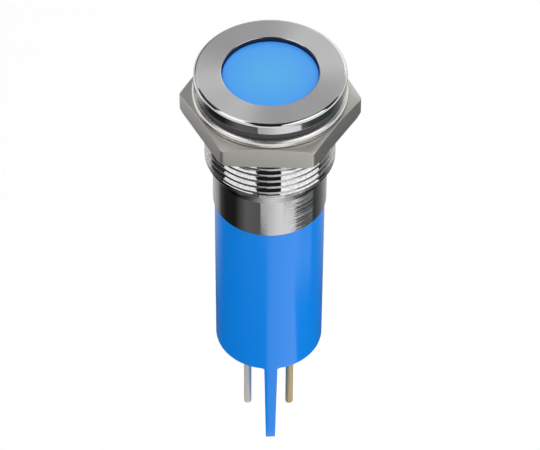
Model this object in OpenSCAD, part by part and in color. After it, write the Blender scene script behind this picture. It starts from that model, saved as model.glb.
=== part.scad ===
// Panel pilot light for a 16 mm hole: a turned brass barrel with a round bezel, a coloured lens,
// a hexagon nut on a fine thread, and a moulded rear sleeve with two terminal pins.
// The barrel axis is Z and the lens looks up. The origin is on that axis, at the back of the
// bezel flange, where the gasket meets it. All sizes are in millimetres.

/* [Barrel] */
// Outside diameter of the thread
thread_d = 16; // [15:0.5:17]
// Pitch of the thread
thread_pitch = 1; // [0.75:0.25:1.25]
// Distance from the back of the flange to the end of the thread
thread_len = 11.5; // [9.5:0.5:13]
// Length of the plain neck under the flange, which the gasket goes round
neck_len = 1; // [0.6:0.1:1.1]
// Length of the plain collar that ends the thread
collar_len = 0.5; // [0.4:0.1:1]
// Length of the cone that joins the collar to the skirt
runout_len = 1.9; // [1.5:0.1:3]
// Length of the plain skirt behind the cone
skirt_len = 5.75; // [5:0.05:8]
// How far the skirt lies below the root of the thread, so that the nut passes over it
skirt_step = 0.43; // [0.2:0.01:0.6]
// Wall of the skirt
skirt_wall = 0.72; // [0.6:0.02:0.9]

/* [Bezel] */
// Thickness of the bezel flange
bezel_t = 1.5; // [1.3:0.1:2]
// How far the flange reaches past the gasket
bezel_overhang = 0.39; // [0.1:0.01:0.8]
// Radius of the rounded front edge of the bezel
bezel_edge_r = 0.4; // [0.15:0.01:0.5]
// Radius of the rounded edge round the window
window_edge_r = 0.1; // [0.05:0.01:0.2]
// Width of the lip that holds the lens in
lip_w = 0.46; // [0.3:0.02:0.8]
// Thickness of that lip
lip_t = 1; // [0.8:0.1:1.2]
// Width of the small chamfers and rounds on edges that are handled
edge_break = 0.15; // [0.1:0.01:0.2]

/* [Gasket, washer and nut] */
// Thickness of the gasket
gasket_t = 1.15; // [1.1:0.05:1.6]
// Width of the gasket ring
gasket_w = 0.75; // [0.5:0.05:1]
// Thickness of the lock washer
washer_t = 1; // [0.6:0.1:1.2]
// Width of the closed rim of the lock washer
washer_rim = 0.75; // [0.6:0.05:1]
// Radius of the washer's rounded front rim
washer_round = 0.5; // [0.2:0.05:0.6]
// Length of the washer's inner teeth
tooth_len = 0.55; // [0.4:0.05:0.7]
// Number of inner teeth
tooth_count = 14; // [10:1:18]
// Share of the circle that the teeth take up
tooth_share = 0.55; // [0.45:0.05:0.65]
// Wall of the hexagon nut, from the outside of the thread to its flats
nut_wall = 1.5; // [1.2:0.1:3]
// Thickness of the nut
nut_t = 3; // [2.5:0.1:3.6]
// How far the corner chamfers cut in from the corners
nut_corner_cut = 0.5; // [0.3:0.05:0.7]
// Depth of the chamfers at both mouths of the nut's bore
nut_chamfer = 0.45; // [0.2:0.05:0.6]
// Angle at which the nut has come to rest on its thread
nut_rest_angle = -1.6; // [-30:0.1:30]

/* [Lens] */
// Depth of the lens edge below the bezel face
lens_recess = 0.58; // [0.2:0.02:0.7]
// Rise of the lens face from its edge to its middle
lens_rise = 0.12; // [0.05:0.01:0.2]
// Thickness of the lens flange
lens_flange_t = 1.1; // [0.9:0.1:1.5]
// Depth of the lens behind its flange
lens_tube_len = 4.9; // [4.5:0.1:6]
// Wall of the lens tube
lens_wall = 0.9; // [0.7:0.1:1]
// Thickness of the seal ring's section
seal_d = 0.85; // [0.7:0.05:0.9]
// How much wider the groove is than the seal ring
groove_play = 0.15; // [0.1:0.01:0.25]

/* [Lamp] */
// Diameter of the lamp body
lamp_d = 5; // [4.6:0.1:5.2]
// Height of the lamp body
lamp_h = 8.6; // [8:0.1:9]
// Width of the rim round the foot of the lamp
lamp_rim_w = 0.4; // [0.3:0.05:0.5]
// Thickness of that rim
lamp_rim_t = 1; // [0.8:0.1:1.2]
// Side of a lamp leg
leg_w = 0.5; // [0.4:0.05:0.55]
// Distance between the lamp legs
leg_pitch = 2.54; // [2.4:0.01:2.7]
// Length of the lamp legs
leg_len = 4.5; // [4:0.1:5]
// Height of the reflector that holds the lamp
reflector_h = 7; // [6.5:0.1:7.5]
// Thickness of the reflector's ledge over the rim of the lamp
cup_t = 0.5; // [0.3:0.05:0.8]

/* [Sleeve] */
// How far the sleeve lies below the outside of the skirt
sleeve_step = 0.2; // [0.1:0.05:0.4]
// Length of the sleeve that shows
sleeve_len = 25.2; // [22:0.1:30]
// Wall of the spigot that fits inside the skirt
spigot_wall = 0.9; // [0.7:0.05:1]
// Thickness of the sleeve floor
floor_t = 2; // [1.6:0.1:2.5]
// Height of the bead that snaps into the skirt
bead_h = 0.25; // [0.15:0.05:0.3]
// Width of that bead
bead_w = 1; // [0.8:0.1:1.4]
// Length of the barrier fin between the pins
fin_len = 13.7; // [11:0.1:15]
// Thickness of the fin where it leaves the sleeve
fin_root_t = 1.7; // [1.4:0.05:2]
// How far the fin lies off the middle, towards the anode pin
fin_offset = 0.3; // [-0.3:0.05:0.3]
// Draft of each side of the fin, in degrees
fin_draft = 1; // [0.5:0.1:1.3]
// Radius of the fillets where the fin leaves the sleeve
fin_fillet = 0.3; // [0.1:0.05:0.5]
// Radius of the rounded edges along the tip of the fin
fin_tip_r = 0.2; // [0.1:0.05:0.25]
// Thickness of a board guide
guide_t = 0.6; // [0.5:0.05:0.8]
// How far a board guide stands in from the wall
guide_reach = 1; // [0.8:0.1:1.5]

/* [Terminals and board] */
// Distance between the terminal pins
pin_pitch = 5.5; // [5:0.1:6]
// Diameter of a terminal pin
pin_d = 1; // [0.9:0.05:1.1]
// Length of a pin outside the sleeve
pin_len = 14.4; // [12:0.1:18]
// Diameter of the pin's shank, which is held in the floor
shank_d = 1.8; // [1.6:0.05:2]
// Length of the pin tail inside the sleeve
tail_len = 4; // [3.5:0.1:5]
// Thickness of the circuit board
board_t = 1.6; // [1.2:0.1:1.7]
// Depth of the sealing resin over the floor
resin_t = 2; // [1.5:0.1:3]
// Distance between the lamp and the upper edge of the board
lamp_lift = 1; // [0.8:0.1:1.5]
// Diameter of the solder round a pin tail
solder_d = 2.2; // [2:0.1:2.6]
// Height of the solder round a pin tail
solder_h = 3; // [2.5:0.1:3.4]

/* [Parts on the board] */
// Length of a chip resistor
chip_len = 5; // [4.5:0.1:6]
// Width of a chip resistor
chip_w = 2.5; // [2:0.1:3]
// Thickness of a chip resistor
chip_t = 0.6; // [0.5:0.05:0.8]
// Length of the metal end of a chip resistor
chip_cap = 0.5; // [0.3:0.05:0.7]
// Distance from the upper edge of the board to the upper resistor
chip_drop = 4.75; // [4:0.05:6]
// Gap between one of these parts and the next
chip_gap = 1.6; // [1.2:0.1:2]
// Diameter of the diode's metal ends
diode_d = 1.6; // [1.4:0.1:2]
// Length of the diode
diode_len = 3.6; // [3.2:0.1:4]
// Length of the metal end of the diode
diode_cap = 0.5; // [0.4:0.05:0.7]
// How far the diode's glass lies below its metal ends
diode_step = 0.075; // [0.05:0.005:0.1]

/* [Fits] */
// Gap all round between the thread and what slides over it
thread_gap = 0.06; // [0.05:0.01:0.1]
// Gap all round between the thread and the washer teeth
tooth_gap = 0.1; // [0.08:0.01:0.15]
// Gap between pieces that are pushed together
push_gap = 0.02; // [0.01:0.01:0.04]
// Gap round the board, the lens and the reflector
slip_gap = 0.08; // [0.05:0.01:0.1]

/* [Hidden] */
$fn = 96;
cut = 0.01; // how far a cutting shape runs past the face that it cuts

// thread form: sixty degree flanks, with narrow flats on the crest and at the root
thread_r = thread_d / 2;
crest_flat = thread_pitch / 8;
root_flat = thread_pitch / 4;
flank = (thread_pitch - crest_flat - root_flat) / 2;
thread_depth = flank / tan(30);
root_r = thread_r - thread_depth;
turns = floor((thread_len - neck_len) / thread_pitch);
thread_start = thread_len - turns * thread_pitch;

// barrel
skirt_r = root_r - skirt_step;
bore_r = skirt_r - skirt_wall;
collar_end = thread_len + collar_len;
barrel_end = collar_end + runout_len + skirt_len;
window_r = bore_r - lip_w;
seat_z = bezel_t - lip_t;

// gasket, washer and nut, one under the other
gasket_in_r = thread_r + thread_gap;
gasket_r = gasket_in_r + gasket_w;
bezel_r = gasket_r + bezel_overhang;
tooth_r = thread_r + tooth_gap;
washer_r = tooth_r + tooth_len + washer_rim;
washer_z = -gasket_t - washer_t;
washer_round_r = min(washer_round, washer_t - 2 * edge_break);
nut_z = washer_z - nut_t;
nut_bore_r = thread_r + thread_gap;
nut_corner_r = (thread_r + nut_wall) / cos(30);

// lens
lens_r = bore_r - slip_gap;
lens_face_r = window_r - slip_gap;
lens_edge_z = bezel_t - lens_recess;
lens_ball_r = (lens_face_r * lens_face_r + lens_rise * lens_rise) / (2 * lens_rise);
lens_end_z = seat_z - lens_flange_t - lens_tube_len;
lens_in_r = lens_r - lens_wall - seal_d / 2;
groove_r = bore_r - seal_d - push_gap;
groove_w = seal_d + groove_play;
groove_z = seat_z - lens_flange_t - groove_w;

// lamp and reflector, which stands on the spigot and carries the lens
reflector_z = lens_end_z - reflector_h;
lamp_r = lamp_d / 2;
lamp_rim_r = lamp_r + lamp_rim_w;

// sleeve
sleeve_r = skirt_r - sleeve_step;
spigot_r = bore_r - push_gap;
spigot_in_r = spigot_r - spigot_wall;
floor_z = -barrel_end - sleeve_len;
inside_z = floor_z + floor_t;
bead_z = (reflector_z - barrel_end) / 2;

// board and what is on it
board_top_z = reflector_z - lamp_lift;
board_half_w = sqrt(spigot_in_r * spigot_in_r - board_t * board_t / 4) - slip_gap;
upper_z = board_top_z - chip_drop - chip_w / 2;
lower_z = upper_z - chip_w - chip_gap;
diode_z = lower_z - chip_w / 2 - chip_gap - diode_d / 2;

metal = [0.80, 0.80, 0.82];
nickel = [0.66, 0.64, 0.60];
lens_blue = [0.30, 0.62, 0.93];
sleeve_blue = [0.05, 0.45, 0.88];
rubber = [0.12, 0.12, 0.13];
gold = [0.72, 0.62, 0.38];
tin = [0.74, 0.74, 0.72];

// Takes the sharp corner off a half section whose corner is at [r, z], to leave it round.
// The signs say which way the corner points.
module corner_round(r, z, radius, sign_r = 1, sign_z = 1) {
    translate([r, z]) scale([sign_r, sign_z]) translate([-radius, -radius]) difference() {
        square(radius + cut);
        circle(radius);
    }
}

// Half section of one full turn of the thread, hanging down from height z.
function thread_turn(z) = [
    [root_r, z - root_flat / 2],
    [thread_r, z - root_flat / 2 - flank],
    [thread_r, z - root_flat / 2 - flank - crest_flat],
    [root_r, z - root_flat / 2 - 2 * flank - crest_flat]
];

// Half section of the barrel: flange, thread, collar, cone and skirt, filled to the axis.
module barrel_outline() {
    polygon(concat(
        [[0, bezel_t], [bezel_r, bezel_t], [bezel_r, edge_break], [bezel_r - edge_break, 0], [root_r, 0]],
        [for (i = [0 : turns - 1]) each thread_turn(-thread_start - i * thread_pitch)],
        [[root_r, root_flat / 2 - thread_len], [thread_r, root_flat / 2 - flank - thread_len]],
        [[thread_r, -collar_end], [skirt_r, -collar_end - runout_len]],
        [[skirt_r, edge_break - barrel_end], [skirt_r - edge_break, -barrel_end], [0, -barrel_end]]
    ));
}

// Section of the bead round the spigot at radius r, or of the groove that it snaps into.
module bead_outline(r, gap) {
    polygon([
        [r - cut, bead_z + bead_w / 2 + gap], [r + bead_h + gap, bead_z],
        [r - cut, bead_z - bead_w / 2 - gap]
    ]);
}

module bezel_barrel() {
    color(metal) rotate_extrude() difference() {
        barrel_outline();
        corner_round(bezel_r, bezel_t, bezel_edge_r);
        corner_round(window_r, bezel_t, window_edge_r, -1);
        translate([-cut, seat_z]) square([window_r + cut, lip_t + cut]);
        translate([-cut, -barrel_end - cut]) square([bore_r + cut, barrel_end + seat_z + cut]);
        bead_outline(bore_r, push_gap);
    }
}

module panel_gasket() {
    color(rubber) rotate_extrude() difference() {
        translate([gasket_in_r, -gasket_t]) square([gasket_w, gasket_t]);
        corner_round(gasket_r, -gasket_t, edge_break, 1, -1);
    }
}

module lock_washer() {
    slot_pitch = 360 / tooth_count;
    slot_w = 2 * tooth_r * sin(slot_pitch / 2) * (1 - tooth_share);
    color(nickel) translate([0, 0, washer_z]) difference() {
        rotate_extrude() difference() {
            translate([tooth_r, 0]) square([washer_r - tooth_r, washer_t]);
            corner_round(washer_r, washer_t, washer_round_r);
            corner_round(washer_r, 0, edge_break, 1, -1);
        }
        for (i = [0 : tooth_count - 1]) rotate((i + 0.5) * slot_pitch)
            translate([tooth_r - tooth_len, -slot_w / 2, -cut])
                cube([2 * tooth_len, slot_w, washer_t + 2 * cut]);
    }
}

module hex_nut() {
    low_r = nut_corner_r - nut_corner_cut;
    rise = nut_corner_cut * tan(30);
    color(nickel) translate([0, 0, nut_z]) rotate(nut_rest_angle) difference() {
        intersection() {
            cylinder(h = nut_t, r = nut_corner_r, $fn = 6);
            rotate_extrude() polygon([
                [0, 0], [low_r, 0], [nut_corner_r, rise],
                [nut_corner_r, nut_t - rise], [low_r, nut_t], [0, nut_t]
            ]);
        }
        translate([0, 0, -cut]) cylinder(h = nut_t + 2 * cut, r = nut_bore_r);
        translate([0, 0, -cut])
            cylinder(h = nut_chamfer, r1 = nut_bore_r + nut_chamfer, r2 = nut_bore_r);
        translate([0, 0, nut_t - nut_chamfer + cut])
            cylinder(h = nut_chamfer, r1 = nut_bore_r, r2 = nut_bore_r + nut_chamfer);
    }
}

module lens() {
    color(lens_blue) rotate_extrude() difference() {
        union() {
            intersection() {
                translate([0, seat_z - cut]) square([lens_face_r, lip_t]);
                translate([0, lens_edge_z + lens_rise - lens_ball_r]) circle(lens_ball_r, $fn = 360);
            }
            translate([0, lens_end_z]) square([lens_r, seat_z - lens_end_z]);
        }
        translate([-lens_ball_r, -lens_ball_r]) square([lens_ball_r, 2 * lens_ball_r]);
        translate([-cut, lens_end_z - cut])
            square([lens_in_r + cut, seat_z - lens_flange_t - lens_end_z + cut]);
        translate([groove_r, groove_z]) square([seal_d, groove_w]);
    }
}

module lens_seal() {
    color(rubber) rotate_extrude()
        translate([groove_r + seal_d / 2, groove_z + groove_w / 2]) circle(seal_d / 2, $fn = 48);
}

module lamp_reflector() {
    top_r = lens_in_r;
    cup_z = reflector_z + lamp_rim_t + cup_t;
    color("white") rotate_extrude() polygon([
        [lamp_rim_r + push_gap, reflector_z], [lens_r, reflector_z],
        [lens_r, lens_end_z], [top_r, lens_end_z],
        [lamp_r + push_gap, cup_z], [lamp_r + push_gap, reflector_z + lamp_rim_t + push_gap],
        [lamp_rim_r + push_gap, reflector_z + lamp_rim_t + push_gap]
    ]);
}

module led_lamp() {
    color(lens_blue) translate([0, 0, reflector_z]) difference() {
        union() {
            cylinder(h = lamp_rim_t, r = lamp_rim_r);
            cylinder(h = lamp_h - lamp_r, r = lamp_r);
            translate([0, 0, lamp_h - lamp_r]) sphere(lamp_r);
        }
        // the flat on the rim marks the cathode side
        translate([-lamp_rim_r, lamp_r, -cut])
            cube([2 * lamp_rim_r, lamp_rim_r, lamp_rim_t + 2 * cut]);
    }
}

module lamp_leg(side) {
    color(tin) translate([-leg_w / 2, side * leg_pitch / 2 - leg_w / 2, reflector_z - leg_len])
        cube([leg_w, leg_w, leg_len]);
}

module lamp_anode_leg() {
    lamp_leg(-1);
}

module lamp_cathode_leg() {
    lamp_leg(1);
}

// Solder between each lamp leg and its face of the board.
module lamp_solder() {
    fill = leg_pitch / 2 - leg_w / 2 - board_t / 2;
    height = leg_len - (reflector_z - board_top_z) - leg_w;
    for (side = [-1, 1])
        color(tin) translate([-leg_w, side * (board_t / 2 + fill / 2) - fill / 2, board_top_z - height])
            cube([2 * leg_w, fill, height]);
}

// Places its children at both terminal pins, or at one of them.
module at_pins(sides = [-1, 1]) {
    for (side = sides) translate([side * pin_pitch / 2, 0, 0]) children();
}

module circuit_board() {
    color("seagreen") difference() {
        translate([-board_half_w, -board_t / 2, inside_z])
            cube([2 * board_half_w, board_t, board_top_z - inside_z]);
        // open slots in the lower edge, which the pin tails are soldered into
        at_pins() translate([-pin_d / 2 - slip_gap, -board_t, inside_z - cut])
            cube([pin_d + 2 * slip_gap, 2 * board_t, tail_len + slip_gap + cut]);
    }
}

// A chip resistor on the front face of the board, with its two metal ends.
module chip_resistor(z) {
    translate([0, -board_t / 2 - chip_t / 2, z]) {
        color("black") cube([chip_len - 2 * chip_cap, chip_t, chip_w], center = true);
        for (side = [-1, 1])
            color(tin) translate([side * (chip_len - chip_cap) / 2, 0, 0])
                cube([chip_cap, chip_t, chip_w], center = true);
    }
}

module upper_resistor() {
    chip_resistor(upper_z);
}

module lower_resistor() {
    chip_resistor(lower_z);
}

module protection_diode() {
    translate([-diode_len / 2, -board_t / 2 - diode_d / 2, diode_z]) rotate([0, 90, 0]) {
        color("darkorange") translate([0, 0, diode_cap])
            cylinder(h = diode_len - 2 * diode_cap, d = diode_d - 2 * diode_step);
        for (z = [0, diode_len - diode_cap])
            color(tin) translate([0, 0, z]) cylinder(h = diode_cap, d = diode_d);
    }
}

// One terminal: a round pin with a bevelled tip, a thick shank in the floor, and a tail for the board.
module terminal_pin() {
    translate([0, 0, floor_z - pin_len]) {
        cylinder(h = edge_break, d1 = pin_d - 2 * edge_break, d2 = pin_d);
        translate([0, 0, edge_break]) cylinder(h = pin_len + floor_t + tail_len - edge_break, d = pin_d);
    }
    translate([0, 0, floor_z]) cylinder(h = floor_t, d = shank_d);
}

module anode_terminal() {
    color(gold) at_pins([1]) terminal_pin();
}

module cathode_terminal() {
    color(tin) at_pins([-1]) terminal_pin();
}

// Solder round each pin tail, filling the slot of the board and standing up on both its faces.
module terminal_solder() {
    color(tin) difference() {
        at_pins() translate([0, 0, inside_z + tail_len - solder_h])
            cylinder(h = solder_h, d = solder_d);
        circuit_board();
        at_pins() terminal_pin();
    }
}

module sealing_resin() {
    color(rubber) difference() {
        translate([0, 0, inside_z]) cylinder(h = resin_t, r = spigot_in_r);
        circuit_board();
        at_pins() terminal_pin();
        terminal_solder();
    }
}

// Two ribs at each side of the sleeve that hold the edge of the board between them.
module board_guides() {
    low_z = inside_z + resin_t;
    for (side = [-1, 1], face = [-1, 1])
        translate([
            side * spigot_in_r - guide_reach,
            face * (board_t / 2 + slip_gap + guide_t / 2) - guide_t / 2,
            low_z
        ]) cube([2 * guide_reach, guide_t, board_top_z - low_z]);
}

// Fillet in the corner between the floor and the right side of the fin. Its arc runs into both.
module fin_root_fillet() {
    inset = fin_fillet * tan(fin_draft) + 2 * cut;
    difference() {
        translate([fin_root_t / 2 - inset, -fin_fillet]) square([fin_fillet + inset - cut, fin_fillet + cut]);
        translate([fin_root_t / 2 + fin_fillet - inset + cut, cut - fin_fillet]) circle(fin_fillet);
    }
}

// Section of the fin, seen from the front and hanging down from the floor.
module fin_section() {
    tip_half = fin_root_t / 2 - fin_len * tan(fin_draft);
    polygon([
        [-fin_root_t / 2, cut], [fin_root_t / 2, cut],
        [tip_half, fin_tip_r - fin_len], [-tip_half, fin_tip_r - fin_len]
    ]);
    translate([fin_tip_r - tip_half, -fin_len]) square([2 * (tip_half - fin_tip_r), 2 * fin_tip_r]);
    for (side = [-1, 1])
        translate([side * (tip_half - fin_tip_r), fin_tip_r - fin_len]) circle(fin_tip_r, $fn = 32);
    for (side = [-1, 1]) scale([side, 1]) fin_root_fillet();
}

// Barrier fin across the whole floor between the pins, flush with the round of the sleeve.
module barrier_fin() {
    intersection() {
        rotate([90, 0, 0]) translate([fin_offset, 0, -sleeve_r]) linear_extrude(2 * sleeve_r) fin_section();
        translate([0, 0, -fin_len - cut]) cylinder(h = fin_len + 3 * cut, r = sleeve_r);
    }
}

module rear_sleeve() {
    color(sleeve_blue) difference() {
        union() {
            rotate_extrude() {
                polygon([
                    [0, floor_z], [sleeve_r, floor_z], [sleeve_r, -barrel_end],
                    [spigot_r, -barrel_end], [spigot_r, reflector_z],
                    [spigot_in_r, reflector_z], [spigot_in_r, inside_z], [0, inside_z]
                ]);
                bead_outline(spigot_r, 0);
            }
            intersection() {
                board_guides();
                translate([0, 0, floor_z]) cylinder(h = sleeve_len, r = spigot_in_r + spigot_wall / 2);
            }
            translate([0, 0, floor_z]) barrier_fin();
        }
        at_pins() translate([0, 0, floor_z - cut])
            cylinder(h = floor_t + 2 * cut, r = shank_d / 2 + push_gap);
    }
}

bezel_barrel();
lens();
lens_seal();
panel_gasket();
lock_washer();
hex_nut();
lamp_reflector();
led_lamp();
lamp_anode_leg();
lamp_cathode_leg();
circuit_board();
upper_resistor();
lower_resistor();
protection_diode();
lamp_solder();
terminal_solder();
anode_terminal();
cathode_terminal();
sealing_resin();
rear_sleeve();
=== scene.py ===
from math import atan2, cos, pi, radians, remainder, sin, sqrt, tan, tau

import bmesh
import bpy
from mathutils import Matrix, Vector


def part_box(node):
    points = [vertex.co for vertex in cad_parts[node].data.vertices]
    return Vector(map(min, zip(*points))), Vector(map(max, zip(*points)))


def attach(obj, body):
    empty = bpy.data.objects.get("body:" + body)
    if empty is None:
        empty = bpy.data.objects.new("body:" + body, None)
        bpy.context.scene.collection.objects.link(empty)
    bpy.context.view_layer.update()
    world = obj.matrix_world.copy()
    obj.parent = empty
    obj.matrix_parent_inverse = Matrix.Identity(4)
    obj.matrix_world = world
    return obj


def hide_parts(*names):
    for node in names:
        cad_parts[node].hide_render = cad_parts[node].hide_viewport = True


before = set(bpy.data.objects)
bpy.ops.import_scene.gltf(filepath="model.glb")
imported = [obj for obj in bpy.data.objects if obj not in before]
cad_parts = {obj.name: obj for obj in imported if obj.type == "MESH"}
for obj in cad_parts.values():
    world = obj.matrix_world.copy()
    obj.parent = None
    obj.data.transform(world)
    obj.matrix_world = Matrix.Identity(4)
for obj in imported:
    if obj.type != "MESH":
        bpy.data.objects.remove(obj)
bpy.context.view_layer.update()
mm = 0.001

# Nodes, for materials and for geometry trees


def put(tree, kind, inputs=None, **settings):  # links or sets a new node's inputs and gives its outputs
    node = tree.nodes.new(kind)
    for key, value in settings.items():
        setattr(node, key, value)
    for key, value in (inputs or {}).items():
        if isinstance(value, bpy.types.NodeSocket):
            tree.links.new(value, node.inputs[key])
        else:
            node.inputs[key].default_value = value
    return node.outputs


def calc(tree, operation, a, b=0.0, clamp=False):
    return put(tree, "ShaderNodeMath", {0: a, 1: b}, operation=operation, use_clamp=clamp)[0]


def combine(tree, **parts):
    return put(tree, "ShaderNodeCombineXYZ", parts)[0]


def remap(tree, value, fromMin, fromMax, toMin=0.0, toMax=1.0, smooth=False):
    spans = {"Value": value, "From Min": fromMin, "From Max": fromMax, "To Min": toMin, "To Max": toMax}
    kind = "SMOOTHSTEP" if smooth else "LINEAR"
    return put(tree, "ShaderNodeMapRange", spans, interpolation_type=kind)[0]


def noise(tree, place, scale, detail, key="Vector"):  # with the key W it runs in bands along one number
    dimensions = "1D" if key == "W" else "3D"
    inputs = {key: place, "Scale": scale, "Detail": detail}
    return put(tree, "ShaderNodeTexNoise", inputs, noise_dimensions=dimensions)["Fac"]


def mixColors(tree, share, first, second):
    return put(tree, "ShaderNodeMix", {0: share, 6: first, 7: second}, data_type="RGBA")[2]


def aroundAxis(tree):  # the place on the piece, its X, Y and Z, and its distance from the Z axis
    place = put(tree, "ShaderNodeTexCoord")["Object"]
    parts = put(tree, "ShaderNodeSeparateXYZ", {0: place})
    across = combine(tree, X=parts["X"], Y=parts["Y"])
    radius = put(tree, "ShaderNodeVectorMath", {0: across}, operation="LENGTH")["Value"]
    return place, parts, radius


socketKinds = {float: "NodeSocketFloat", int: "NodeSocketInt", type(None): "NodeSocketMaterial"}


def newGroup(name, kind, inputs, outputs, outputKind="NodeSocketFloat"):
    tree = bpy.data.node_groups.new(name, kind)
    for label, value in inputs.items():
        socket = tree.interface.new_socket(label, in_out="INPUT", socket_type=socketKinds[type(value)])
        if value is not None:
            socket.default_value = value
    for label in outputs:
        tree.interface.new_socket(label, in_out="OUTPUT", socket_type=outputKind)
    return tree, tree.nodes.new("NodeGroupInput").outputs, tree.nodes.new("NodeGroupOutput").inputs


def useGroup(tree, group, values):
    return put(tree, "ShaderNodeGroup", values, node_tree=group)


# Shared surface effects

turning = {
    "patchScale": 180.0,
    "patchSpan": (0.35, 0.65),
    "startScale": 0.7,  # a little under 1, so that each ring or two has its own start
    "startScatter": 7.0 * mm,
    "quietShare": 0.05,  # what is left of the rings where the tool ran quietly
    "calmShare": 0.2,  # and where it has calmed down again
}


def makeTurnedRings():  # fine rings left by the lathe, round the Z axis
    tree, given, result = newGroup(
        "turnedRings",
        "ShaderNodeTree",
        {
            "Spacing": 0.2 * mm, "Patchiness": 0.5, "Rough From": -1.0, "Rough To": -0.9, "Calm From": 1.0,
            "Calm To": 1.1,
        },
        ["Height"],
    )
    t = turning
    place, parts, radius = aroundAxis(tree)
    steps = calc(tree, "DIVIDE", calc(tree, "SUBTRACT", radius, parts["Z"]), given["Spacing"])
    least = calc(tree, "SUBTRACT", 1.0, given["Patchiness"])
    fade = remap(tree, noise(tree, place, t["patchScale"], 1.0), *t["patchSpan"], least, 1.0)
    # the tool chattered on one side only, and each mark starts at its own place
    start = calc(tree, "SUBTRACT", noise(tree, steps, t["startScale"], 1.0, "W"), 0.5)
    across = calc(tree, "ADD", parts["X"], calc(tree, "MULTIPLY", start, t["startScatter"]))
    chatter = remap(tree, across, given["Rough From"], given["Rough To"], t["quietShare"], 1.0, smooth=True)
    calm = remap(tree, across, given["Calm From"], given["Calm To"], 1.0, t["calmShare"], smooth=True)
    share = calc(tree, "MULTIPLY", fade, calc(tree, "MULTIPLY", chatter, calm))
    rings = calc(tree, "SUBTRACT", noise(tree, steps, 1.0, 0.0, "W"), 0.5)
    tree.links.new(calc(tree, "MULTIPLY", rings, share), result["Height"])
    return tree


grainLook = {"broadShare": 0.12, "broadSpan": (0.2, 0.8)}  # of the wide patches that vary the roughness


def makeFineGrain():  # the small unevenness of a moulded, plated or rubber skin
    tree, given, result = newGroup(
        "fineGrain",
        "ShaderNodeTree",
        {"Size": 0.3 * mm, "Low": 0.2, "High": 0.3},
        ["Height", "Roughness"],
    )
    place = put(tree, "ShaderNodeTexCoord")["Object"]
    scale = calc(tree, "DIVIDE", 1.0, given["Size"])
    broad = noise(tree, place, calc(tree, "MULTIPLY", scale, grainLook["broadShare"]), 2.0)
    roughness = remap(tree, broad, *grainLook["broadSpan"], given["Low"], given["High"])
    tree.links.new(noise(tree, place, scale, 4.0), result["Height"])
    tree.links.new(roughness, result["Roughness"])
    return tree


turnedRings = makeTurnedRings()
fineGrain = makeFineGrain()
finishes = {}


def newFinish(name, constants):
    finishes[name] = bpy.data.materials.new(name)
    finishes[name].use_nodes = True
    tree = finishes[name].node_tree
    surface = tree.nodes["Principled BSDF"].inputs
    for key, value in constants.items():
        surface[key].default_value = value
    return tree, surface


def bumpFrom(tree, height, strength, distance):
    bump = put(tree, "ShaderNodeBump", {"Height": height, "Strength": strength, "Distance": distance})
    return bump["Normal"]


print("surface groups ready")

# Finishes

turned = {
    "color": (0.62, 0.62, 0.625, 1),
    "polished": 0.07,
    "faced": 0.29,
    "facedSlope": (0.965, 0.997),  # how far a surface faces up where the satin starts and is full
    "ringSpacing": 0.17 * mm,
    "ringDepth": 0.03 * mm,
    "patchiness": 0.4,
    "chatter": {  # distances towards +X
        "Rough From": 2.1 * mm,
        "Rough To": 3.6 * mm,
        "Calm From": 4.8 * mm,
        "Calm To": 6.2 * mm,
    },
    "polishedShare": 0.12,  # how much of the rings polishing leaves on the bezel and the thread
    "rawBelow": (-11.9 * mm, -12.6 * mm),
    "grimeAndRootShade": (0.3, 0.3, 0.297, 1),  # grey of the specks along the thread, and painted shade down in its roots
    # how dark the painted shade is at the thread's root
    "rootShade": 0.5,
    "threadDepth": (7.3 * mm, 8.0 * mm),
    "threadSpan": (-11.85 * mm, -1.0 * mm),
    "crestRoom": 0.1 * mm,
    "speckScale": 3600.0,
    "speckSpan": (0.4, 0.7),
    "speckShare": (0.1, 0.6),
}


def makeTurnedMetal():  # bright plate over turned brass, satin on the flat face and polished round the sides
    t = turned
    tree, surface = newFinish(
        "turnedMetal",
        {"Base Color": t["color"], "Metallic": 1.0, "Anisotropic": 0.8, "Anisotropic Rotation": 0.25},
    )
    place, parts, radius = aroundAxis(tree)
    facing = put(tree, "ShaderNodeTexCoord")["Normal"]
    up = put(tree, "ShaderNodeSeparateXYZ", {0: facing})["Z"]
    tree.links.new(remap(tree, up, *t["facedSlope"], t["polished"], t["faced"]), surface["Roughness"])
    values = {"Spacing": t["ringSpacing"], "Patchiness": t["patchiness"], **t["chatter"]}
    rings = useGroup(tree, turnedRings, values)
    raw = remap(tree, parts["Z"], *t["rawBelow"], t["polishedShare"], 1.0)
    height = calc(tree, "MULTIPLY", rings["Height"], raw)
    tree.links.new(bumpFrom(tree, height, 1.0, t["ringDepth"]), surface["Normal"])
    # painted shade: the thread is darker towards its roots, and random grey specks are mixed in along it
    depth = remap(tree, radius, *t["threadDepth"], t["rootShade"], 0.0)
    specks = remap(tree, noise(tree, place, t["speckScale"], 3.0), *t["speckSpan"], *t["speckShare"])
    inside = calc(tree, "LESS_THAN", radius, t["threadDepth"][1] + t["crestRoom"])
    under = calc(tree, "LESS_THAN", parts["Z"], t["threadSpan"][1])
    over = calc(tree, "GREATER_THAN", parts["Z"], t["threadSpan"][0])
    thread = calc(tree, "MULTIPLY", inside, calc(tree, "MULTIPLY", under, over))
    rootShadeAndSpecks = calc(tree, "MULTIPLY", calc(tree, "ADD", depth, specks, clamp=True), thread)
    tree.links.new(mixColors(tree, rootShadeAndSpecks, t["color"], t["grimeAndRootShade"]), surface["Base Color"])
    tangent = put(tree, "ShaderNodeTangent", direction_type="RADIAL", axis="Z")
    tree.links.new(tangent[0], surface["Tangent"])


plating = {"grainSize": 0.25 * mm, "grainShare": 0.4, "ringSpacing": 0.12 * mm, "patchiness": 0.3}


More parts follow.
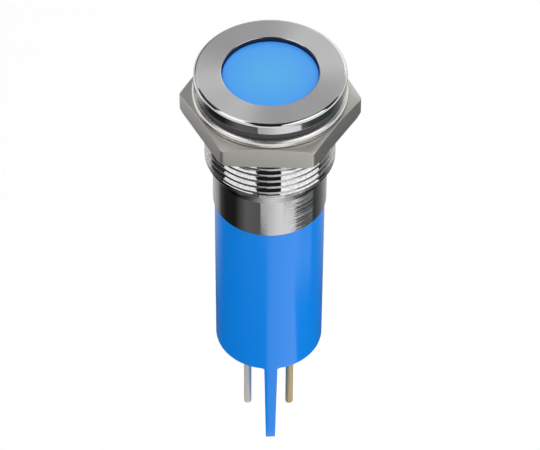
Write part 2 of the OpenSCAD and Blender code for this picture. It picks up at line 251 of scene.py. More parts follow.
def makePlated(name, color, low, high, ringDepth, metallic):  # satin plate with a faint grain and rings
    tree, surface = newFinish(name, {"Base Color": (*color, 1), "Metallic": metallic})
    grain = useGroup(tree, fineGrain, {"Size": plating["grainSize"], "Low": low, "High": high})
    values = {"Spacing": plating["ringSpacing"], "Patchiness": plating["patchiness"]}
    rings = useGroup(tree, turnedRings, values)
    height = calc(tree, "MULTIPLY", grain["Height"], plating["grainShare"])
    height = calc(tree, "ADD", height, rings["Height"])
    tree.links.new(grain["Roughness"], surface["Roughness"])
    tree.links.new(bumpFrom(tree, height, 1.0, ringDepth), surface["Normal"])


def makeMoulded(name, color, low, high, depth, size=0.5 * mm, extra=None):
    tree, surface = newFinish(name, {"Base Color": (*color, 1), **(extra or {})})
    grain = useGroup(tree, fineGrain, {"Size": size, "Low": low, "High": high})
    tree.links.new(grain["Roughness"], surface["Roughness"])
    tree.links.new(bumpFrom(tree, grain["Height"], 0.6, depth), surface["Normal"])


lensLook = {
    "radius": 5.8 * mm,
    "middle": (0.1, 0.51, 0.95, 1),
    "rim": (0.075, 0.43, 1.0, 1),
    # painted glow: light the lens gives off of its own, though the lamp inside is unlit, weak in the middle
    # and strong at the rim; the emission strength below sets how strong it is
    "middlePaintedGlow": (0.0, 0.035, 0.28, 1),
    "rimPaintedGlow": (0.0, 0.07, 1.0, 1),
    "paintedGlowCurve": 5.0,
    "constants": {"IOR": 1.5, "Roughness": 0.27, "Emission Strength": 0.2},
}


def makeLensBlue():  # clear blue moulding that is a little greener over the lamp, with a painted glow that is strongest at the rim
    tree, surface = newFinish("lensBlue", lensLook["constants"])
    radius = aroundAxis(tree)[2]
    share = calc(tree, "DIVIDE", radius, lensLook["radius"], clamp=True)
    tint = mixColors(tree, share, lensLook["middle"], lensLook["rim"])
    tree.links.new(tint, surface["Base Color"])
    # painted glow, growing steeply towards the rim
    rimShare = calc(tree, "POWER", share, lensLook["paintedGlowCurve"])
    glow = mixColors(tree, rimShare, lensLook["middlePaintedGlow"], lensLook["rimPaintedGlow"])
    tree.links.new(glow, surface["Emission Color"])


plated = {  # colour, lowest and highest roughness, depth of the rings, how metallic
    "nutNickel": ((0.53, 0.515, 0.485), 0.38, 0.46, 0.0015 * mm, 1.0),
    "washerNickel": ((0.72, 0.71, 0.685), 0.24, 0.32, 0.0006 * mm, 1.0),
    "tinPlate": ((0.80, 0.755, 0.66), 0.42, 0.52, 0.0015 * mm, 0.2),
    "goldPlate": ((0.63, 0.47, 0.225), 0.42, 0.52, 0.0015 * mm, 0.2),
    "solder": ((0.60, 0.61, 0.62), 0.2, 0.4, 0.006 * mm, 1.0),
    "copper": ((0.75, 0.42, 0.22), 0.25, 0.4, 0.003 * mm, 1.0),
}
sleeveGloss = {"IOR": 1.55, "Specular IOR Level": 0.44}
lampGlass = {"Transmission Weight": 0.7, "IOR": 1.53}
moulded = {  # colour, lowest and highest roughness, depth of the grain, its size where it isn't the usual
    # painted shade: near black for the wall of the window round the lens
    "paintedBoreShade": ((0.012, 0.014, 0.02), 0.3, 0.4, 0.001 * mm),
    "rubber": ((0.055, 0.055, 0.06), 0.5, 0.65, 0.004 * mm),
    "sleeveBlue": ((0.0, 0.275, 0.98), 0.13, 0.18, 0.0015 * mm, 0.8 * mm, sleeveGloss),
    "whitePlastic": ((0.8, 0.8, 0.78), 0.35, 0.45, 0.002 * mm),
    "lampEpoxy": ((0.25, 0.5, 0.95), 0.08, 0.14, 0.001 * mm, 0.5 * mm, lampGlass),
    "boardGreen": ((0.01, 0.1, 0.04), 0.3, 0.45, 0.004 * mm),
    "ceramicBlack": ((0.02, 0.02, 0.022), 0.3, 0.4, 0.004 * mm),
    "diodeGlass": ((0.45, 0.08, 0.02), 0.08, 0.16, 0.002 * mm),
    "resin": ((0.015, 0.015, 0.017), 0.1, 0.25, 0.01 * mm, 1.5 * mm),
}
makeTurnedMetal()
makeLensBlue()
for finishName, finishValues in plated.items():
    makePlated(finishName, *finishValues)
for finishName, finishValues in moulded.items():
    makeMoulded(finishName, *finishValues)
print("finishes ready:", len(finishes))

# Outlines and round pieces


def roundedOutline(corners, arcSteps=5, hold=1.25):  # corners are (radius, height, fillet), in metres
    points = []
    for i, (r, z, fillet) in enumerate(corners):
        here = Vector((r, z))
        if fillet <= 0:
            points.append(here)
            continue
        back = (Vector(corners[i - 1][:2]) - here).normalized()
        on = (Vector(corners[(i + 1) % len(corners)][:2]) - here).normalized()
        half = back.angle(on) / 2
        reach = fillet / tan(half)
        centre = here + (back + on).normalized() * fillet / sin(half)
        first, last = here + back * reach - centre, here + on * reach - centre
        start = atan2(first.y, first.x)
        sweep = remainder(atan2(last.y, last.x) - start, tau)
        points.append(here + back * reach * hold)  # keeps the flat beside the fillet flat
        for k in range(arcSteps + 1):
            turn = start + sweep * k / arcSteps
            points.append(centre + fillet * Vector((cos(turn), sin(turn))))
        points.append(here + on * reach * hold)
    return points


def smoothPiece(piece, sharp=30):
    piece.data.shade_smooth()
    piece.data.set_sharp_from_angle(angle=radians(sharp))


def newPiece(name, shape, finish, sharp=30):
    bmesh.ops.remove_doubles(shape, verts=shape.verts, dist=1e-7)
    bmesh.ops.recalc_face_normals(shape, faces=shape.faces)
    mesh = bpy.data.meshes.new(name)
    shape.to_mesh(mesh)
    shape.free()
    piece = bpy.data.objects.new(name, mesh)
    bpy.context.scene.collection.objects.link(piece)
    mesh.materials.append(finishes[finish])
    smoothPiece(piece, sharp)
    return piece


def addSkin(shape, columns):  # closed columns of points, side by side all the way round
    for i, here in enumerate(columns):
        after = columns[(i + 1) % len(columns)]
        for k in range(len(here)):
            n = (k + 1) % len(here)
            shape.faces.new((here[k], after[k], after[n], here[n]))


def addSpun(shape, outline, steps=192, place=Matrix()):  # turns a closed outline round the Z axis
    columns = []
    for s in range(steps):
        turn = tau * s / steps
        across = Vector((cos(turn), sin(turn), 0))
        columns.append([shape.verts.new(place @ (across * p.x + Vector((0, 0, p.y)))) for p in outline])
    addSkin(shape, columns)


def spun(name, corners, finish, steps=192):
    shape = bmesh.new()
    addSpun(shape, roundedOutline(corners), steps)
    return newPiece(name, shape, finish)


def addBlock(shape, low, high):
    made = bmesh.ops.create_cube(shape, size=1.0)["verts"]
    middle, size = (Vector(low) + Vector(high)) / 2, Vector(high) - Vector(low)
    for vert in made:
        vert.co = Vector([vert.co[k] * size[k] for k in range(3)]) + middle


def applyModifiers(piece):
    graph = bpy.context.evaluated_depsgraph_get()
    mesh = bpy.data.meshes.new_from_object(piece.evaluated_get(graph))
    piece.modifiers.clear()
    old, piece.data = piece.data, mesh
    bpy.data.meshes.remove(old)


def roundEdges(piece, width, segments=2, angle=35):
    bevel = piece.modifiers.new("edges", "BEVEL")
    bevel.width = width
    bevel.segments = segments
    bevel.limit_method = "ANGLE"
    bevel.angle_limit = radians(angle)
    bevel.harden_normals = False
    applyModifiers(piece)
    smoothPiece(piece)


def settle(piece, node=None, body="light"):
    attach(piece, body)
    if node:
        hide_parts(node)


def dressPlain(node, finish, edge):  # a CAD node with its sharp edges taken off
    shape = bmesh.new()
    shape.from_mesh(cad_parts[node].data)
    bmesh.ops.remove_doubles(shape, verts=shape.verts, dist=1e-6)
    bmesh.ops.dissolve_limit(shape, angle_limit=radians(1), verts=shape.verts, edges=shape.edges)
    piece = newPiece(node + "Rounded", shape, finish)
    roundEdges(piece, edge)
    settle(piece, node)


# Geometry trees


def grown(name, tree, values, finish):
    carrier = bpy.data.objects.new(name, bpy.data.meshes.new(name))
    bpy.context.scene.collection.objects.link(carrier)
    modifier = carrier.modifiers.new(name, "NODES")
    modifier.node_group = tree
    sockets = {s.name: s.identifier for s in tree.interface.items_tree if s.in_out == "INPUT"}
    for label, value in {**values, "Material": finishes[finish]}.items():
        modifier[sockets[label]] = value
    applyModifiers(carrier)
    smoothPiece(carrier)
    return carrier


def finishTree(tree, given, result, geometry):
    real = put(tree, "GeometryNodeRealizeInstances", {0: geometry})
    inputs = {"Geometry": real[0], "Material": given["Material"]}
    dressed = put(tree, "GeometryNodeSetMaterial", inputs)
    tree.links.new(dressed[0], result["Geometry"])
    return tree


def makeThreadTree():  # a ridge on a right-hand helix, whose ends run out into the piece that carries it
    tree, given, result = newGroup(
        "helicalThread",
        "GeometryNodeTree",
        {
            "Turns": 10.0, "Pitch": 1 * mm, "Radius": 7.4 * mm, "Depth": 0.5 * mm, "Base Width": 0.75 * mm,
            "Crest Width": 0.125 * mm, "Crest Round": 0.03 * mm, "Low End": 0.0, "Run Out": 0.4,
            "Least Size": 0.02, "Outward": 1.0, "Steps": 120, "Material": None,
        },
        ["Geometry"],
        "NodeSocketGeometry",
    )
    height = calc(tree, "MULTIPLY", given["Turns"], given["Pitch"])
    helix = put(
        tree,
        "GeometryNodeCurveSpiral",
        {
            "Resolution": given["Steps"], "Rotations": given["Turns"], "Start Radius": given["Radius"],
            "End Radius": given["Radius"], "Height": height, "Reverse": True,
        },
    )
    lift = combine(tree, Z=given["Low End"])
    placed = put(tree, "GeometryNodeTransform", {"Geometry": helix[0], "Translation": lift})
    upright = put(tree, "GeometryNodeSetCurveNormal", {"Curve": placed[0]}, mode="Z_UP")
    sizes = {"Bottom Width": given["Base Width"], "Top Width": given["Crest Width"], "Offset": 0.0}
    ridge = put(
        tree,
        "GeometryNodeCurvePrimitiveQuadrilateral",
        {**sizes, "Height": given["Depth"]},
        mode="TRAPEZOID",
    )
    softened = put(
        tree,
        "GeometryNodeFilletCurve",
        {"Curve": ridge[0], "Count": 2, "Radius": given["Crest Round"], "Limit Radius": True},
        mode="POLY",
    )
    halfDepth = calc(tree, "MULTIPLY", given["Depth"], 0.5)
    stand = combine(tree, X=calc(tree, "MULTIPLY", halfDepth, given["Outward"]))
    turn = combine(tree, Z=calc(tree, "MULTIPLY", given["Outward"], -pi / 2))
    section = put(
        tree,
        "GeometryNodeTransform",
        {"Geometry": softened[0], "Translation": stand, "Rotation": turn},
    )
    share = put(tree, "GeometryNodeSplineParameter")["Factor"]
    passed = calc(tree, "MULTIPLY", share, given["Turns"])
    nearest = calc(tree, "MINIMUM", passed, calc(tree, "SUBTRACT", given["Turns"], passed))
    taper = calc(tree, "DIVIDE", nearest, given["Run Out"], clamp=True)
    size = calc(tree, "MAXIMUM", taper, given["Least Size"])
    inputs = {"Curve": upright[0], "Profile Curve": section[0], "Scale": size, "Fill Caps": True}
    swept = put(tree, "GeometryNodeCurveToMesh", inputs)
    return finishTree(tree, given, result, swept[0])


def makeToothTree():  # twisted teeth inside a ring
    tree, given, result = newGroup(
        "ringOfTeeth",
        "GeometryNodeTree",
        {
            "Count": 14, "Radius": 8.4 * mm, "Length": 0.7 * mm, "Width": 1.8 * mm, "Thickness": 0.6 * mm,
            "Twist": 0.0, "Height": 0.0, "Material": None,
        },
        ["Geometry"],
        "NodeSocketGeometry",
    )
    circle = put(tree, "GeometryNodeMeshCircle", {"Vertices": given["Count"], "Radius": given["Radius"]})
    lift = combine(tree, Z=given["Height"])
    placed = put(tree, "GeometryNodeTransform", {"Geometry": circle[0], "Translation": lift})
    size = combine(tree, X=given["Length"], Y=given["Width"], Z=given["Thickness"])
    tooth = put(tree, "GeometryNodeMeshCube", {"Size": size})
    share = calc(tree, "DIVIDE", put(tree, "GeometryNodeInputIndex")[0], given["Count"])
    turn = combine(tree, X=given["Twist"], Z=calc(tree, "MULTIPLY", share, tau))
    teeth = put(
        tree,
        "GeometryNodeInstanceOnPoints",
        {"Points": placed[0], "Instance": tooth[0], "Rotation": turn},
    )
    return finishTree(tree, given, result, teeth[0])


helicalThread = makeThreadTree()
ringOfTeeth = makeToothTree()
print("geometry trees ready")

# Barrel

barrel = {
    "edgeRound": 0.4 * mm,
    "windowRadius": 5.85 * mm,
    "windowBreak": 0.09 * mm,
    "lip": 1.0 * mm,
    "boreRadius": 6.31 * mm,
    "crestRadius": 8.0 * mm,
    "rootRadius": 7.6 * mm,
    "pitch": 1.0 * mm,
    "crestWidth": 0.32 * mm,
    "flankSlope": 0.84,  # how much a flank drops for each step outwards
    "crestGap": 0.01 * mm,  # from the crest down to the ridge's own top
    "sunk": 0.03 * mm,  # how far the ridge's foot lies inside the metal
    "threadStart": -11.88 * mm,  # lies inside the collar
    "turns": 10.3,
    "runOut": 0.2,
    "collarTop": -11.52 * mm,
    "collarSlope": 0.33 * mm,
    "collarEnd": -12.0 * mm,
    "coneEnd": -13.9 * mm,
    "skirtRadius": 7.029 * mm,
}


def growThread(name, look, radius, depth, lowEnd, finish, outward=1.0):
    values = {
        "Turns": look["turns"],
        "Pitch": barrel["pitch"],
        "Radius": radius,
        "Depth": depth,
        "Base Width": look["crestWidth"] + 2 * depth * barrel["flankSlope"],
        "Crest Width": look["crestWidth"],
        "Low End": lowEnd,
        "Run Out": look["runOut"],
        "Outward": outward,
    }
    return grown(name, helicalThread, values, finish)


def makeBarrel():
    low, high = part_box("bezel_barrel")
    b = barrel
    underLip = high.z - b["lip"]
    corners = [
        (b["windowRadius"], high.z, b["windowBreak"]),
        (high.x, high.z, b["edgeRound"]),
        (high.x, 0, 0.12 * mm),
        (b["rootRadius"], 0, 0),
        (b["rootRadius"], b["collarTop"] + b["collarSlope"], 0),
        (b["crestRadius"], b["collarTop"], 0.04 * mm),
        (b["crestRadius"], b["collarEnd"], 0.06 * mm),
        (b["skirtRadius"], b["coneEnd"], 0.1 * mm),
        (b["skirtRadius"], low.z, 0.12 * mm),
        (b["boreRadius"], low.z, 0.1 * mm),
        (b["boreRadius"], underLip, 0),
        (b["windowRadius"], underLip, 0),
    ]
    body = spun("barrelBody", corners, "turnedMetal")
    body.data.materials.append(finishes["paintedBoreShade"])
    wallReach = b["windowRadius"] + 0.02 * mm
    wallFoot = underLip - 0.1 * mm
    for face in body.data.polygons:  # the wall of the window gets a near-black finish, painted shade inside the recess round the lens
        if Vector(face.center.xy).length < wallReach and face.center.z > wallFoot:
            face.material_index = 1
    settle(body, "bezel_barrel")
    base = b["rootRadius"] - b["sunk"]
    depth = b["crestRadius"] - b["crestGap"] - base
    thread = growThread("barrelThread", b, base, depth, b["threadStart"], "turnedMetal")
    settle(thread)


# Nut and washer

nut = {
    "flat": 9.5 * mm,  # half the width across the flats
    "boreRadius": 8.06 * mm,
    "mouth": 0.45 * mm,
    "cornerCut": 0.5 * mm,
    "faceGap": 0.01 * mm,  # between the nut and the washer
    "frontSlope": radians(19),  # the chamfer towards the washer starts at the flats
    "backSlope": radians(30),
    "cornerRound": 0.5 * mm,
    "edgeRound": 0.09 * mm,
    "edgeRoom": 1.2,  # the least room for that round, in its own radii
    "faceHold": 0.12 * mm,  # keeps the flat face flat beside the chamfer
    "columns": [0, 0.25, 0.5, 0.75, 1.0, 1.6, 3, 5, 8, 12, 17, 22, 26, 30],  # degrees from a corner
    "restAngle": radians(-1.6),
    "threadInside": 7.69 * mm,
    "threadSunk": 0.04 * mm,
    "threadRise": 7.5,  # in turns above the barrel's ridge, so it lies half a turn from it
    "turns": 2.0,
    "runOut": 0.3,
    "crestWidth": 0.12 * mm,
}


def hexRadius(offset, flat, rounding):  # offset is the angle from the nearest corner
    corner = flat / cos(radians(30))
    centre = corner - rounding / sin(radians(60))
    reach = rounding / tan(radians(60))
    edge = atan2(reach * sin(radians(60)), corner - reach * cos(radians(60)))
    if abs(offset) >= edge:
        return flat / cos(radians(30) - abs(offset))
    along = centre * cos(offset)
    return along + sqrt(max(0, rounding**2 - centre**2 + along**2))


def nutHalf(outer, chamferRadius, slope, arcSteps=5):  # radius and drop from one face, from the bore outwards
    n = nut
    inner = min(chamferRadius, outer - n["edgeRound"] * n["edgeRoom"])
    points = [
        (n["boreRadius"], n["mouth"]),
        (n["boreRadius"] + n["mouth"], 0),
        (inner - n["faceHold"], 0),
        (inner, 0),
    ]
    for k in range(arcSteps + 1):
        a = radians(90 * k / arcSteps)
        r = outer - n["edgeRound"] * (1 - sin(a))
        cone = max(0, r - chamferRadius) * tan(slope)
        points.append((r, cone + n["edgeRound"] * (1 - cos(a))))
    return points


def makeNut():
    low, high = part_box("hex_nut")
    n = nut
    corner = n["flat"] / cos(radians(30))
    near, middle = n["columns"][:-1], n["columns"][-1]
    offsets = sorted({s * radians(a) for a in near for s in (-1, 1)} | {radians(middle)})
    shape = bmesh.new()
    columns = []
    for side in range(6):
        for offset in offsets:
            outer = hexRadius(offset, n["flat"], n["cornerRound"])
            turn = n["restAngle"] + radians(60 * side) + offset
            front = nutHalf(outer, n["flat"], n["frontSlope"])
            back = nutHalf(outer, corner - n["cornerCut"], n["backSlope"])
            outline = [(r, high.z - n["faceGap"] - drop) for r, drop in front]
            outline += [(r, low.z + drop) for r, drop in reversed(back)]
            across = Vector((cos(turn), sin(turn), 0))
            columns.append([shape.verts.new(across * r + Vector((0, 0, z))) for r, z in outline])
    addSkin(shape, columns)
    body = newPiece("nutBody", shape, "nutNickel", sharp=24)
    settle(body, "hex_nut", "nut")
    base = n["boreRadius"] + n["threadSunk"]
    depth = base - n["threadInside"]
    lowEnd = barrel["threadStart"] + n["threadRise"] * barrel["pitch"]
    thread = growThread("nutThread", n, base, depth, lowEnd, "nutNickel", outward=-1.0)
    settle(thread, body="nut")


washer = {
    "rim": 0.75 * mm,
    "topRound": 0.5 * mm,
    "edgeRound": 0.28 * mm,
    "teeth": 14,
    "toothLength": 0.55 * mm,
    "toothSunk": 0.06 * mm,
    "toothShare": 0.55,  # of the way round
    "toothHeight": 0.72,  # of the washer's own
    "toothTwist": radians(7),
    "toothRound": 0.05 * mm,
}


def makeWasher():
    low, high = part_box("lock_washer")
    w = washer
    inner = high.x - w["rim"]
    corners = [
        (inner, high.z, 0.05 * mm),
        (high.x, high.z, w["topRound"]),
        (high.x, low.z, w["edgeRound"]),
        (inner, low.z, 0.05 * mm),
    ]
    ring = spun("washerRing", corners, "washerNickel")
    settle(ring, "lock_washer", "washer")
    teeth = grown(
        "washerTeeth",
        ringOfTeeth,
        {
            "Count": w["teeth"],
            "Radius": inner - w["toothLength"] / 2 + w["toothSunk"],
            "Length": w["toothLength"] + 2 * w["toothSunk"],
            "Width": tau * inner / w["teeth"] * w["toothShare"],
            "Thickness": (high.z - low.z) * w["toothHeight"],
            "Twist": w["toothTwist"],
            "Height": (low.z + high.z) / 2,
        },
        "washerNickel",
    )
    roundEdges(teeth, w["toothRound"])
    settle(teeth, body="washer")


gasket = {"innerRadius": 8.06 * mm, "edgeRound": 0.08 * mm, "bulge": 0.04 * mm, "bulgeRound": 0.8 * mm}


def makeGasket():
    low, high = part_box("panel_gasket")
    g = gasket
    outer = high.x - g["bulge"]
    corners = [
        (g["innerRadius"], high.z, 0),
        (outer, high.z, 0.05 * mm),
        (high.x, (low.z + high.z) / 2, g["bulgeRound"]),
        (outer, low.z, g["edgeRound"]),
        (g["innerRadius"], low.z, g["edgeRound"]),
    ]
    piece = spun("gasketRing", corners, "rubber")
    settle(piece, "panel_gasket")


makeBarrel()
makeNut()
makeWasher()
makeGasket()
print("barrel, nut, washer and gasket ready")

# Lens and lamp

lens = {
    "faceRadius": 5.769 * mm,
    "faceSteps": 12,
    "faceShare": 0.985,  # where the dome's last step would end, inside the round of the edge
    "edgeHeight": 0.92 * mm,
    "seat": 0.5 * mm,
    "flangeRadius": 6.229 * mm,
    "flangeHeight": 1.1 * mm,
    "insideRadius": 4.9 * mm,
    "grooveRadius": 5.44 * mm,
    "grooveHeight": 1.0 * mm,
}


def makeLens():
    low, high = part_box("lens")
    f = lens
    rise = high.z - f["edgeHeight"]
    dome = []
    for k in range(1, f["faceSteps"]):
        r = f["faceRadius"] * k / f["faceSteps"] * f["faceShare"]
        dome.append((r, f["edgeHeight"] + rise * (1 - (r / f["faceRadius"]) ** 2), 0))
    ceiling = f["seat"] - f["flangeHeight"]
    groove = ceiling - f["grooveHeight"]
    corners = [
        (0, high.z, 0),
        *dome,
        (f["faceRadius"], f["edgeHeight"], 0.06 * mm),
        (f["faceRadius"], f["seat"], 0.05 * mm),
        (f["flangeRadius"], f["seat"], 0.05 * mm),
        (f["flangeRadius"], ceiling, 0.04 * mm),
        (f["grooveRadius"], ceiling, 0.04 * mm),
        (f["grooveRadius"], groove, 0.04 * mm),
        (f["flangeRadius"], groove, 0.04 * mm),
        (f["flangeRadius"], low.z, 0.06 * mm),
        (f["insideRadius"], low.z, 0.06 * mm),
        (f["insideRadius"], ceiling, 0.3 * mm),
        (0, ceiling, 0),
    ]
    piece = spun("lensCap", corners, "lensBlue")
    settle(piece, "lens")


lamp = {
    "rimHeight": 1.0 * mm,
    "bodyRadius": 2.5 * mm,
    "domeSteps": 9,
    "rimRadius": 2.9 * mm,
    "flat": 2.5 * mm,  # marks the cathode side
    # radius, height above the foot and fillet of the metal cup, in millimetres
    "cup": [(0, 3.9, 0), (0.45, 3.9, 0), (0.95, 4.5, 0.03), (1.1, 4.4, 0.03), (0.7, 3.4, 0), (0, 3.4, 0)],
}


def makeLamp():
    low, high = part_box("led_lamp")
    d = lamp
    top = high.z - d["bodyRadius"]
    dome = []
    for k in range(d["domeSteps"] + 1):
        a = radians(90 - 90 * k / d["domeSteps"])
        dome.append((d["bodyRadius"] * cos(a), top + d["bodyRadius"] * sin(a), 0))
    corners = [
        *dome,
        (d["bodyRadius"], low.z + d["rimHeight"], 0.08 * mm),
        (d["rimRadius"], low.z + d["rimHeight"], 0.06 * mm),
        (d["rimRadius"], low.z, 0.06 * mm),
        (0, low.z, 0),
    ]
    piece = spun("lampBody", corners, "lampEpoxy", steps=96)
    for vert in piece.data.vertices:
        vert.co.y = min(vert.co.y, d["flat"])
    settle(piece, "led_lamp")
    corners = [(r * mm, low.z + rise * mm, fillet * mm) for r, rise, fillet in d["cup"]]
    cup = spun("lampCup", corners, "tinPlate", steps=48)
    settle(cup)


makeLens()
makeLamp()
print("lens and lamp ready")

# Sleeve with its barrier fin

sleeve = {
    "spigotRadius": 6.289 * mm,
    "beadRise": 0.25 * mm,
    "beadHalf": 0.5 * mm,
    "insideRadius": 5.389 * mm,
    "shoulder": -19.65 * mm,
    "bottom": -44.85 * mm,
    "floor": 2.0 * mm,
    "edgeRound": 0.1 * mm,
    "finRoot": 1.7 * mm,
    "finSunk": 0.6 * mm,
    "finSetBack": 0.04 * mm,
    "finOffset": 0.3 * mm,
    "finDraft": radians(1),
    "finFillet": 0.3 * mm,
    "finEdge": 0.08 * mm,
    "filletSteps": 6,
    "finSteps": 8,
}


def addFin(shape, radius, tip):  # the barrier across the sleeve's foot, with its fillet and draft
    s = sleeve
    levels = [(s["bottom"] + s["finSunk"], 0.0, s["finSetBack"])]  # height, extra half width, set back
    for k in range(s["filletSteps"], -1, -1):
        a = radians(90 * k / s["filletSteps"])
        height = s["bottom"] - s["finFillet"] * (1 - sin(a))
        levels.append((height, s["finFillet"] * (1 - cos(a)), 0))
    start = levels[-1][0]
    for k in range(1, s["finSteps"] + 1):
        levels.append((start + (tip - start) * k / s["finSteps"], 0.0, 0.0))
    loops = []
    for z, extra, setBack in levels:
        half = s["finRoot"] / 2 - max(0.0, s["bottom"] - z) * tan(s["finDraft"]) + extra
        edge = radius - setBack
        loop = []
        for side in (-1, 1):
            for across in (-1, -0.5, 0, 0.5, 1):
                x = side * half * across + s["finOffset"]
                loop.append(shape.verts.new((x, side * sqrt(edge**2 - x**2), z)))
        loops.append(loop)
    for here, below in zip(loops, loops[1:]):
        for k in range(len(here)):
            n = (k + 1) % len(here)
            shape.faces.new((here[k], here[n], below[n], below[k]))
    shape.faces.new(loops[0])
    shape.faces.new(loops[-1])


def makeSleeve():
    low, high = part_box("rear_sleeve")
    s = sleeve
    radius = high.x
    beadHeight = (high.z + s["shoulder"]) / 2
    corners = [
        (0, s["bottom"], 0),
        (radius, s["bottom"], s["edgeRound"]),
        (radius, s["shoulder"], 0.05 * mm),
        (s["spigotRadius"], s["shoulder"], 0),
        (s["spigotRadius"], beadHeight - s["beadHalf"], 0),
        (s["spigotRadius"] + s["beadRise"], beadHeight, 0.1 * mm),
        (s["spigotRadius"], beadHeight + s["beadHalf"], 0),
        (s["spigotRadius"], high.z, 0.15 * mm),
        (s["insideRadius"], high.z, 0.1 * mm),
        (s["insideRadius"], s["bottom"] + s["floor"], 0.3 * mm),
        (0, s["bottom"] + s["floor"], 0),
    ]
    body = spun("sleeveBody", corners, "sleeveBlue")
    settle(body, "rear_sleeve")
    shape = bmesh.new()
    addFin(shape, radius, low.z)
    fin = newPiece("barrierFin", shape, "sleeveBlue")
    roundEdges(fin, s["finEdge"], segments=3, angle=50)
    settle(fin)


# Terminals and board

terminal = {"tipRound": 0.16 * mm, "radius": 0.5 * mm, "shankRadius": 0.9 * mm}


def makeTerminal(name, node, finish):
    low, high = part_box(node)
    t = terminal
    floorTop = sleeve["bottom"] + sleeve["floor"]
    corners = [
        (0, low.z, 0),
        (t["radius"], low.z, t["tipRound"]),
        (t["radius"], sleeve["bottom"], 0),
        (t["shankRadius"], sleeve["bottom"], 0.04 * mm),
        (t["shankRadius"], floorTop, 0.04 * mm),
        (t["radius"], floorTop, 0),
        (t["radius"], high.z, 0.08 * mm),
        (0, high.z, 0),
    ]
    shape = bmesh.new()
    middle = Vector(((low.x + high.x) / 2, (low.y + high.y) / 2, 0))
    addSpun(shape, roundedOutline(corners), steps=48, place=Matrix.Translation(middle))
    settle(newPiece(name, shape, finish), node)


chip = {
    "cap": 0.5 * mm,
    "bodyInset": 0.6,  # of the cap's length
    "skin": 0.04 * mm,
    "bodyRound": 0.04 * mm,
    "capRound": 0.05 * mm,
}


def makeChip(name, node):
    low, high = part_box(node)
    cap, skin = chip["cap"], chip["skin"]
    inset = cap * chip["bodyInset"]
    shape = bmesh.new()
    addBlock(
        shape,
        (low.x + inset, low.y + skin, low.z + skin),
        (high.x - inset, high.y, high.z - skin),
    )
    body = newPiece(name + "Body", shape, "ceramicBlack")
    roundEdges(body, chip["bodyRound"])
    settle(body, node)
    shape = bmesh.new()
    addBlock(shape, low, (low.x + cap, high.y, high.z))
    addBlock(shape, (high.x - cap, low.y, low.z), high)
    ends = newPiece(name + "Ends", shape, "tinPlate")
    roundEdges(ends, chip["capRound"])
    settle(ends)


diode = {"cap": 0.5 * mm, "glassInset": 0.08 * mm, "outerRound": 0.1 * mm, "innerRound": 0.06 * mm}


def makeDiode():
    low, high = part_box("protection_diode")
    radius = (high.z - low.z) / 2
    length = high.x - low.x
    cap = diode["cap"]
    glassRadius = radius - diode["glassInset"]
    middle = Vector((low.x, (low.y + high.y) / 2, (low.z + high.z) / 2))
    place = Matrix.Translation(middle) @ Matrix.Rotation(radians(90), 4, "Y")
    first, last = cap * 0.5, length - cap * 0.5
    glass = [(0, first, 0), (glassRadius, first, 0), (glassRadius, last, 0), (0, last, 0)]
    shape = bmesh.new()
    addSpun(shape, roundedOutline(glass), steps=48, place=place)
    body = newPiece("diodeBody", shape, "diodeGlass")
    settle(body, "protection_diode")
    shape = bmesh.new()
    for start, end in ((0, cap), (length - cap, length)):
        corners = [
            (0, start, 0),
            (radius, start, diode["outerRound"]),
            (radius, end, diode["innerRound"]),
            (0, end, 0),
        ]
        addSpun(shape, roundedOutline(corners), steps=48, place=place)
    settle(newPiece("diodeEnds", shape, "tinPlate"))


board = {
    "edgeRound": 0.03 * mm,
    "copper": 0.035 * mm,
    "trackShare": 0.8,  # of the pads' thickness
    "trackWidth": 0.5 * mm,
    "trackAside": 2.4 * mm,
    "overlap": 0.1 * mm,
    "padLength": 0.6 * mm,
    "padGrow": 0.35 * mm,
    "feedRise": 0.3 * mm,
    "feedDrop": 0.2 * mm,
    "tailTop": 4.5 * mm,
}


def makeBoard():
    b = board
    dressPlain("circuit_board", "boardGreen", b["edgeRound"])
    low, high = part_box("circuit_board")
    face = low.y
    shape = bmesh.new()
    for node in ("upper_resistor", "lower_resistor", "protection_diode"):
        start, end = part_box(node)
        for left, right in (
            (start.x - b["padGrow"], start.x + b["padLength"]),
            (end.x - b["padLength"], end.x + b["padGrow"]),
        ):
            addBlock(shape, (left, face - b["copper"], start.z), (right, face, end.z))
    upper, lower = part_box("upper_resistor"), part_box("lower_resistor")
    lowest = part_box("protection_diode")
    half, aside, over = b["trackWidth"] / 2, b["trackAside"], b["overlap"]
    feed = upper[1].z + b["feedRise"]
    tail = low.z + b["tailTop"]
    tracks = [  # left and right side, low and high end
        (-aside - half, -aside + half, lower[1].z - over, upper[0].z + over),
        (aside - half, aside + half, lowest[1].z - over, lower[0].z + over),
        (-aside - half, -aside + half, tail - over, lowest[0].z + over),
        (aside - half, aside + half, tail - over, lowest[0].z + over),
        (-half, half, feed, high.z - b["feedRise"]),
        (-half, aside + half, feed - half, feed + half),
        (aside - half, aside + half, upper[1].z - b["feedDrop"], feed),
    ]
    front = face - b["copper"] * b["trackShare"]
    for left, right, foot, top in tracks:
        addBlock(shape, (left, front, foot), (right, face, top))
    settle(newPiece("boardTracks", shape, "copper"))


plainNodes = {  # the finish, and how much is taken off the edges
    "lamp_reflector": ("whitePlastic", 0.05 * mm),
    "lens_seal": ("rubber", 0.01 * mm),
    "lamp_anode_leg": ("tinPlate", 0.04 * mm),
    "lamp_cathode_leg": ("tinPlate", 0.04 * mm),
    "lamp_solder": ("solder", 0.05 * mm),
    "terminal_solder": ("solder", 0.05 * mm),
    "sealing_resin": ("resin", 0.03 * mm),
}

makeSleeve()
makeTerminal("anodePin", "anode_terminal", "goldPlate")
makeTerminal("cathodePin", "cathode_terminal", "tinPlate")
makeBoard()
makeChip("upperResistor", "upper_resistor")
makeChip("lowerResistor", "lower_resistor")
makeDiode()
for plainNode, (plainFinish, plainEdge) in plainNodes.items():
    dressPlain(plainNode, plainFinish, plainEdge)
print("sleeve, terminals and board ready")

# Camera

